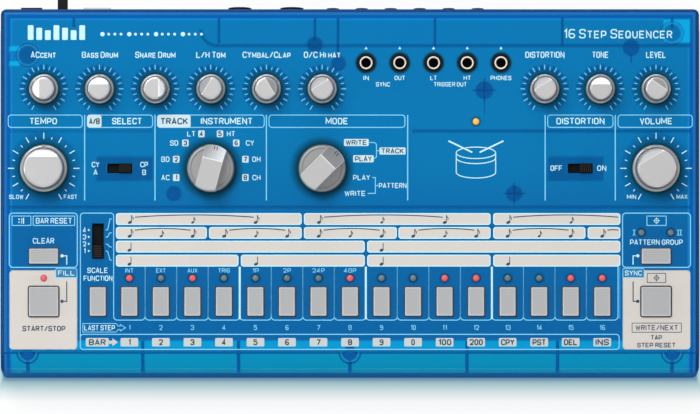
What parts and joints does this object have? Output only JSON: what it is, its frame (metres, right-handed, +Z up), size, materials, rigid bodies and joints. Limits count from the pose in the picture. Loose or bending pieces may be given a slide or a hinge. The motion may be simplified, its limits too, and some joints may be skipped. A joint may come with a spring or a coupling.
{
  "type": "drum machine",
  "caption": "Desktop drum machine with a sloping panel of turning knobs, selectors, slide switches, spring step buttons and jack sockets in a two-part case.",
  "frame": {"origin": "on the table, at the middle of the outline seen from above, power lever included", "axes": "+X to the right of someone who plays it, +Y to the rear where the sockets are, +Z up"},
  "size_m": [0.305, 0.165, 0.0556],
  "materials": {
    "case": "slightly clear blue moulded plastic, fine satin gloss",
    "circuit_board": "green lacquered circuit board",
    "cable": "grey flat cable",
    "rubber": "black rubber",
    "knob": "light silver grey plastic, satin",
    "button": "light grey plastic, satin",
    "lever": "black plastic, satin",
    "black_plastic": "black moulded plastic",
    "jack": "black plastic with a plated ring",
    "plated_metal": "nickel plated steel",
    "lens": "clear red lens, lit or unlit"
  },
  "bodies": {
    "root": {"top_cover": "case", "bottom_cover": "case", "foot_front_left": "rubber", "foot_front_right": "rubber", "foot_rear_left": "rubber", "foot_rear_right": "rubber", "control_board": "circuit_board", "rear_board": "circuit_board", "ribbon_cable": "cable", "step_light_bar": "lens", "pattern_light_bar": "lens", "status_light": "lens", "sync_in_jack": "jack", "sync_out_jack": "jack", "low_tom_trigger_jack": "jack", "high_tom_trigger_jack": "jack", "phones_jack": "jack", "power_inlet": "black_plastic", "data_socket": "plated_metal", "round_in_socket": "black_plastic", "round_out_socket": "black_plastic", "output_jack_row": "black_plastic"},
    "knob_accent": {"knob_accent": "knob"},
    "knob_bass": {"knob_bass": "knob"},
    "knob_snare": {"knob_snare": "knob"},
    "knob_tom": {"knob_tom": "knob"},
    "knob_cymbal": {"knob_cymbal": "knob"},
    "knob_hihat": {"knob_hihat": "knob"},
    "knob_distortion": {"knob_distortion": "knob"},
    "knob_tone": {"knob_tone": "knob"},
    "knob_level": {"knob_level": "knob"},
    "tempo_knob": {"tempo_knob": "knob"},
    "volume_knob": {"volume_knob": "knob"},
    "instrument_selector": {"instrument_selector": "knob"},
    "mode_selector": {"mode_selector": "knob"},
    "step_button_01": {"step_button_01": "button"},
    "step_button_02": {"step_button_02": "button"},
    "step_button_03": {"step_button_03": "button"},
    "step_button_04": {"step_button_04": "button"},
    "step_button_05": {"step_button_05": "button"},
    "step_button_06": {"step_button_06": "button"},
    "step_button_07": {"step_button_07": "button"},
    "step_button_08": {"step_button_08": "button"},
    "step_button_09": {"step_button_09": "button"},
    "step_button_10": {"step_button_10": "button"},
    "step_button_11": {"step_button_11": "button"},
    "step_button_12": {"step_button_12": "button"},
    "step_button_13": {"step_button_13": "button"},
    "step_button_14": {"step_button_14": "button"},
    "step_button_15": {"step_button_15": "button"},
    "step_button_16": {"step_button_16": "button"},
    "function_button": {"function_button": "button"},
    "clear_button": {"clear_button": "button"},
    "start_stop_button": {"start_stop_button": "button"},
    "pattern_group_button": {"pattern_group_button": "button"},
    "write_next_button": {"write_next_button": "button"},
    "sound_select_slider": {"sound_select_slider": "lever"},
    "distortion_slider": {"distortion_slider": "lever"},
    "scale_slider": {"scale_slider": "lever"},
    "power_switch_lever": {"power_switch_lever": "lever"}
  },
  "joints": [
    {"name": "knob_accent_turn", "type": "hinge", "parent": "root", "child": "knob_accent", "pos_m": [-0.13359, 0.04076, 0.04194], "axis": [0, -0.0872, 0.9962], "range_deg": [-240, 60]},
    {"name": "knob_bass_turn", "type": "hinge", "parent": "root", "child": "knob_bass", "pos_m": [-0.1093, 0.04076, 0.04194], "axis": [0, -0.0872, 0.9962], "range_deg": [-150, 150]},
    {"name": "knob_snare_turn", "type": "hinge", "parent": "root", "child": "knob_snare", "pos_m": [-0.085, 0.04076, 0.04194], "axis": [0, -0.0872, 0.9962], "range_deg": [-60, 240]},
    {"name": "knob_tom_turn", "type": "hinge", "parent": "root", "child": "knob_tom", "pos_m": [-0.06071, 0.04076, 0.04194], "axis": [0, -0.0872, 0.9962], "range_deg": [-210, 90]},
    {"name": "knob_cymbal_turn", "type": "hinge", "parent": "root", "child": "knob_cymbal", "pos_m": [-0.03642, 0.04076, 0.04194], "axis": [0, -0.0872, 0.9962], "range_deg": [-90, 210]},
    {"name": "knob_hihat_turn", "type": "hinge", "parent": "root", "child": "knob_hihat", "pos_m": [-0.01212, 0.04076, 0.04194], "axis": [0, -0.0872, 0.9962], "range_deg": [-180, 120]},
    {"name": "knob_distortion_turn", "type": "hinge", "parent": "root", "child": "knob_distortion", "pos_m": [0.085, 0.04076, 0.04194], "axis": [0, -0.0872, 0.9962], "range_deg": [-180, 120]},
    {"name": "knob_tone_turn", "type": "hinge", "parent": "root", "child": "knob_tone", "pos_m": [0.1093, 0.04076, 0.04194], "axis": [0, -0.0872, 0.9962], "range_deg": [-150, 150]},
    {"name": "knob_level_turn", "type": "hinge", "parent": "root", "child": "knob_level", "pos_m": [0.13359, 0.04076, 0.04194], "axis": [0, -0.0872, 0.9962], "range_deg": [-115, 185]},
    {"name": "tempo_knob_turn", "type": "hinge", "parent": "root", "child": "tempo_knob", "pos_m": [-0.13359, 0.00619, 0.03892], "axis": [0, -0.0872, 0.9962], "range_deg": [-150, 150]},
    {"name": "volume_knob_turn", "type": "hinge", "parent": "root", "child": "volume_knob", "pos_m": [0.13359, 0.00619, 0.03892], "axis": [0, -0.0872, 0.9962], "range_deg": [-180, 120]},
    {"name": "instrument_selector_turn", "type": "hinge", "parent": "root", "child": "instrument_selector", "pos_m": [-0.06071, 0.00619, 0.03892], "axis": [0, -0.0872, 0.9962], "range_deg": [-90, 120]},
    {"name": "mode_selector_turn", "type": "hinge", "parent": "root", "child": "mode_selector", "pos_m": [-0.01212, 0.00619, 0.03892], "axis": [0, -0.0872, 0.9962], "range_deg": [-90, 0]},
    {"name": "step_button_01_press", "type": "slide", "parent": "root", "child": "step_button_01", "axis": [0, 0.0872, -0.9962], "range_m": [0, 0.001], "stiffness_N_per_m": 800},
    {"name": "step_button_02_press", "type": "slide", "parent": "root", "child": "step_button_02", "axis": [0, 0.0872, -0.9962], "range_m": [0, 0.001], "stiffness_N_per_m": 800},
    {"name": "step_button_03_press", "type": "slide", "parent": "root", "child": "step_button_03", "axis": [0, 0.0872, -0.9962], "range_m": [0, 0.001], "stiffness_N_per_m": 800},
    {"name": "step_button_04_press", "type": "slide", "parent": "root", "child": "step_button_04", "axis": [0, 0.0872, -0.9962], "range_m": [0, 0.001], "stiffness_N_per_m": 800},
    {"name": "step_button_05_press", "type": "slide", "parent": "root", "child": "step_button_05", "axis": [0, 0.0872, -0.9962], "range_m": [0, 0.001], "stiffness_N_per_m": 800},
    {"name": "step_button_06_press", "type": "slide", "parent": "root", "child": "step_button_06", "axis": [0, 0.0872, -0.9962], "range_m": [0, 0.001], "stiffness_N_per_m": 800},
    {"name": "step_button_07_press", "type": "slide", "parent": "root", "child": "step_button_07", "axis": [0, 0.0872, -0.9962], "range_m": [0, 0.001], "stiffness_N_per_m": 800},
    {"name": "step_button_08_press", "type": "slide", "parent": "root", "child": "step_button_08", "axis": [0, 0.0872, -0.9962], "range_m": [0, 0.001], "stiffness_N_per_m": 800},
    {"name": "step_button_09_press", "type": "slide", "parent": "root", "child": "step_button_09", "axis": [0, 0.0872, -0.9962], "range_m": [0, 0.001], "stiffness_N_per_m": 800},
    {"name": "step_button_10_press", "type": "slide", "parent": "root", "child": "step_button_10", "axis": [0, 0.0872, -0.9962], "range_m": [0, 0.001], "stiffness_N_per_m": 800},
    {"name": "step_button_11_press", "type": "slide", "parent": "root", "child": "step_button_11", "axis": [0, 0.0872, -0.9962], "range_m": [0, 0.001], "stiffness_N_per_m": 800},
    {"name": "step_button_12_press", "type": "slide", "parent": "root", "child": "step_button_12", "axis": [0, 0.0872, -0.9962], "range_m": [0, 0.001], "stiffness_N_per_m": 800},
    {"name": "step_button_13_press", "type": "slide", "parent": "root", "child": "step_button_13", "axis": [0, 0.0872, -0.9962], "range_m": [0, 0.001], "stiffness_N_per_m": 800},
    {"name": "step_button_14_press", "type": "slide", "parent": "root", "child": "step_button_14", "axis": [0, 0.0872, -0.9962], "range_m": [0, 0.001], "stiffness_N_per_m": 800},
    {"name": "step_button_15_press", "type": "slide", "parent": "root", "child": "step_button_15", "axis": [0, 0.0872, -0.9962], "range_m": [0, 0.001], "stiffness_N_per_m": 800},
    {"name": "step_button_16_press", "type": "slide", "parent": "root", "child": "step_button_16", "axis": [0, 0.0872, -0.9962], "range_m": [0, 0.001], "stiffness_N_per_m": 800},
    {"name": "function_button_press", "type": "slide", "parent": "root", "child": "function_button", "axis": [0, 0.0872, -0.9962], "range_m": [0, 0.001], "stiffness_N_per_m": 800},
    {"name": "clear_button_press", "type": "slide", "parent": "root", "child": "clear_button", "axis": [0, 0.0872, -0.9962], "range_m": [0, 0.001], "stiffness_N_per_m": 800},
    {"name": "start_stop_button_press", "type": "slide", "parent": "root", "child": "start_stop_button", "axis": [0, 0.0872, -0.9962], "range_m": [0, 0.001], "stiffness_N_per_m": 800},
    {"name": "pattern_group_button_press", "type": "slide", "parent": "root", "child": "pattern_group_button", "axis": [0, 0.0872, -0.9962], "range_m": [0, 0.001], "stiffness_N_per_m": 800},
    {"name": "write_next_button_press", "type": "slide", "parent": "root", "child": "write_next_button", "axis": [0, 0.0872, -0.9962], "range_m": [0, 0.001], "stiffness_N_per_m": 800},
    {"name": "sound_select_slider_slide", "type": "slide", "parent": "root", "child": "sound_select_slider", "axis": [-1, 0, 0], "range_m": [0, 0.0047]},
    {"name": "distortion_slider_slide", "type": "slide", "parent": "root", "child": "distortion_slider", "axis": [-1, 0, 0], "range_m": [0, 0.0047]},
    {"name": "scale_slider_slide", "type": "slide", "parent": "root", "child": "scale_slider", "axis": [0, 0.9962, 0.0872], "range_m": [0, 0.009]},
    {"name": "power_switch_lever_slide", "type": "slide", "parent": "root", "child": "power_switch_lever", "axis": [1, 0, 0], "range_m": [0, 0.003]}
  ]
}
